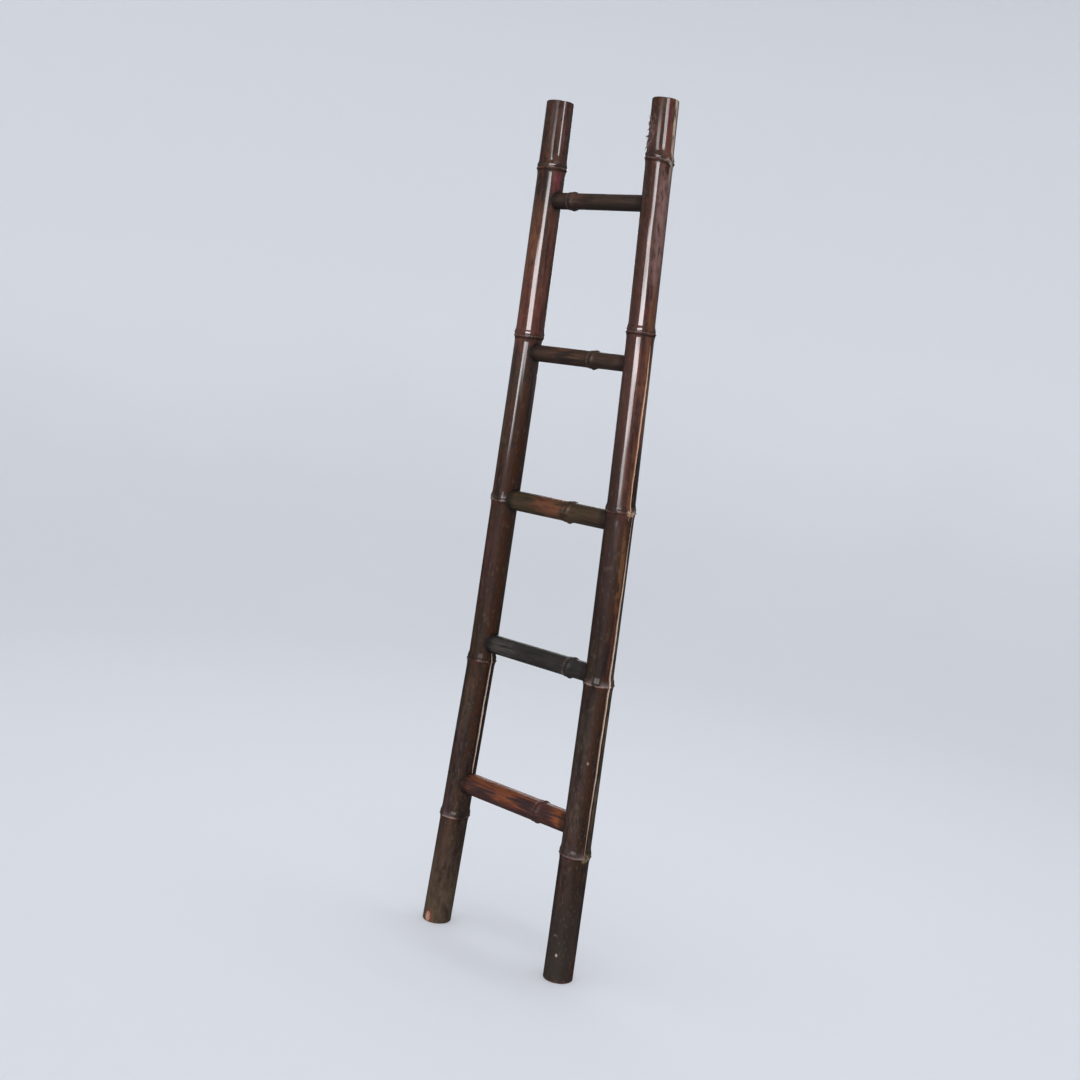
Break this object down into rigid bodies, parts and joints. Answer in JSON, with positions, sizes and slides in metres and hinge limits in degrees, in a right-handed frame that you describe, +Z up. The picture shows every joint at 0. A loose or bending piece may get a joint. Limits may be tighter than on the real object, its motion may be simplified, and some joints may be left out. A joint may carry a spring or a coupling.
{
  "type": "bamboo ladder",
  "caption": "Leaning ladder of dark lacquered bamboo: thick bowed culms that draw together upwards, joined by pegged cane rungs, for hanging throws and towels.",
  "frame": {"origin": "on the floor plane, midway across the two stiles and midway through the ladder's depth", "axes": "+Z up along the ladder, X along the rungs, +Y towards the wall that the ladder leans on; the front faces -Y"},
  "size_m": [0.4184, 0.0806, 1.79],
  "materials": {
    "stile_lacquer": "dark red-brown lacquer on bamboo, glossy above and worn matte below",
    "rung_lacquer": "brown lacquer on bamboo cane, streaked and worn",
    "peg_bamboo": "bare bamboo, stained at the end"
  },
  "bodies": {
    "root": {"stile_left": "stile_lacquer", "stile_right": "stile_lacquer", "rung_1": "rung_lacquer", "rung_2": "rung_lacquer", "rung_3": "rung_lacquer", "rung_4": "rung_lacquer", "rung_5": "rung_lacquer", "peg_left_1": "peg_bamboo", "peg_left_2": "peg_bamboo", "peg_left_3": "peg_bamboo", "peg_left_4": "peg_bamboo", "peg_left_5": "peg_bamboo", "peg_right_1": "peg_bamboo", "peg_right_2": "peg_bamboo", "peg_right_3": "peg_bamboo", "peg_right_4": "peg_bamboo", "peg_right_5": "peg_bamboo"}
  },
  "joints": []
}
